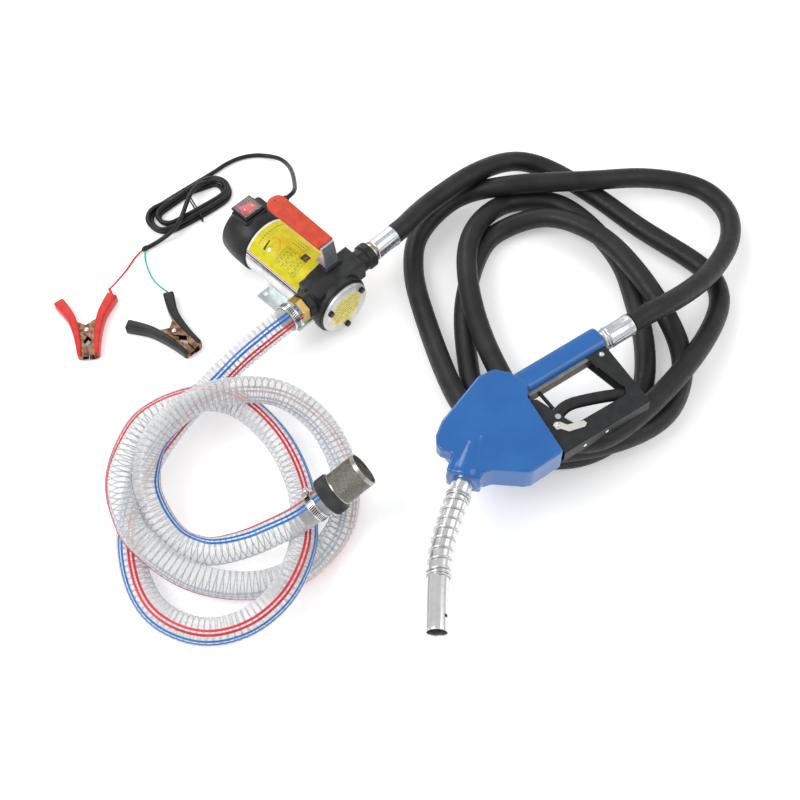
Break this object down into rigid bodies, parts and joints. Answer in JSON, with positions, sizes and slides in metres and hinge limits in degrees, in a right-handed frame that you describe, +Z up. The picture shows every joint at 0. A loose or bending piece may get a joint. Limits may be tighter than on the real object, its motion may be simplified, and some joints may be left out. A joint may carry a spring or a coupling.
{
  "type": "fluid transfer pump",
  "caption": "Battery-powered transfer pump: cylindrical motor on a vane pump head with carrying handle, foot, suction hose with strainer, delivery hose with trigger nozzle, and battery clips.",
  "frame": {"origin": "centre of the mounting foot's underside", "axes": "+Z up, +X out of the outlet port, -Y out of the pump head's front cover; the motor's axis lies along Y"},
  "size_m": [0.9192, 0.712, 0.1247],
  "materials": {
    "motor_paint": "gloss",
    "moulded_black": "satin",
    "rocker_red": "gloss",
    "machined_steel": "machined",
    "copper_winding": "lacquered wire",
    "ferrite": "matt",
    "head_casting": "black paint over a cast surface",
    "cover_silver": "silver paint",
    "screw_black": "black oxide",
    "brass": "machined",
    "clamp_steel": "rolled",
    "zinc_plate": "zinc plated",
    "sleeve_red": "dipped plastic",
    "cover_blue": "gloss",
    "casting_grey": "as cast",
    "guard_black": "black paint",
    "spout_aluminium": "drawn",
    "collar_black": "satin",
    "mesh_steel": "woven wire",
    "hose_rubber": "cloth wrapped",
    "hose_clear": "clear, with a steel wire helix",
    "cable_black": "satin",
    "wire_red": "satin",
    "wire_green": "satin",
    "jaw_copper": "copper plated",
    "clip_red": "satin",
    "clip_black": "satin"
  },
  "bodies": {
    "pump": {"motor_shell": "motor_paint", "motor_end_cap": "moulded_black", "switch_bezel": "moulded_black", "cable_gland": "moulded_black", "field_magnet": "ferrite", "brush_plate": "moulded_black", "front_bearing": "machined_steel", "pump_head": "head_casting", "front_cover": "cover_silver", "cover_screw_1": "screw_black", "cover_screw_2": "screw_black", "cover_screw_3": "screw_black", "bypass_plug": "brass", "inlet_barb": "brass", "inlet_clamp": "clamp_steel", "outlet_nipple": "zinc_plate", "outlet_ferrule": "zinc_plate", "handle_strap": "zinc_plate", "handle_sleeve": "sleeve_red", "handle_screw": "zinc_plate", "mounting_foot": "zinc_plate", "nozzle_cover": "cover_blue", "nozzle_body": "casting_grey", "hand_guard": "guard_black", "guard_screw": "machined_steel", "lever_pin": "machined_steel", "spout": "spout_aluminium", "spout_spring": "machined_steel", "nozzle_swivel": "zinc_plate", "nozzle_ferrule": "zinc_plate", "strainer_clamp": "clamp_steel", "strainer_collar": "collar_black", "strainer_mesh": "mesh_steel", "delivery_hose": "hose_rubber", "suction_hose": "hose_clear", "power_cable": "cable_black", "cable_hank": "cable_black", "cable_tail": "cable_black", "red_wire": "wire_red", "green_wire": "wire_green", "red_clip_fixed_jaw": "jaw_copper", "red_clip_fixed_sleeve": "clip_red", "black_clip_fixed_jaw": "jaw_copper", "black_clip_fixed_sleeve": "clip_black"},
    "rotor": {"armature": "copper_winding", "motor_shaft": "machined_steel", "pump_rotor": "machined_steel", "vane_1": "collar_black", "vane_2": "collar_black", "vane_3": "collar_black", "vane_4": "collar_black"},
    "rocker": {"switch_rocker": "rocker_red"},
    "poppet": {"bypass_poppet": "brass"},
    "lever": {"trigger_lever": "guard_black"},
    "stem": {"valve_stem": "machined_steel"},
    "latch": {"lever_latch": "machined_steel"},
    "red_clip_arm": {"red_clip_moving_jaw": "jaw_copper", "red_clip_moving_sleeve": "clip_red"},
    "black_clip_arm": {"black_clip_moving_jaw": "jaw_copper", "black_clip_moving_sleeve": "clip_black"}
  },
  "joints": [
    {"name": "rotor_spin", "type": "hinge", "parent": "pump", "child": "rotor", "pos_m": [0, 0, 0.046], "axis": [0, 1, 0], "continuous": true},
    {"name": "switch_rock", "type": "hinge", "parent": "pump", "child": "rocker", "pos_m": [0.001, 0.094, 0.082], "axis": [0, 1, 0], "range_deg": [-16, 0]},
    {"name": "bypass_lift", "type": "slide", "parent": "pump", "child": "poppet", "axis": [0, 0, -1], "range_m": [0, 0.0035], "stiffness_N_per_m": 800, "springref_m": -0.004},
    {"name": "lever_pull", "type": "hinge", "parent": "pump", "child": "lever", "pos_m": [0.03995, -0.38094, 0.083], "axis": [0, 0, 1], "range_deg": [0, 20], "stiffness_Nm_per_rad": 0.6, "springref_deg": -20.05},
    {"name": "stem_lift", "type": "slide", "parent": "pump", "child": "stem", "axis": [0.1879, 0.9822, 0], "range_m": [0, 0.006]},
    {"name": "latch_swing", "type": "hinge", "parent": "pump", "child": "latch", "pos_m": [0.03109, -0.38841, 0.083], "axis": [0, 0, 1], "range_deg": [0, 20], "stiffness_Nm_per_rad": 0.02},
    {"name": "red_clip_open", "type": "hinge", "parent": "pump", "child": "red_clip_arm", "pos_m": [-0.232, 0.143, 0.007], "axis": [0, 0, 1], "range_deg": [-35, 0], "stiffness_Nm_per_rad": 0.6, "springref_deg": 22.92},
    {"name": "black_clip_open", "type": "hinge", "parent": "pump", "child": "black_clip_arm", "pos_m": [-0.157, 0.065, 0.007], "axis": [0, 0, 1], "range_deg": [-35, 0], "stiffness_Nm_per_rad": 0.6, "springref_deg": 22.92}
  ],
  "couplings": [
    {"joint": "stem_lift", "follows": "lever_pull", "m_per_rad": 0.0165}
  ]
}
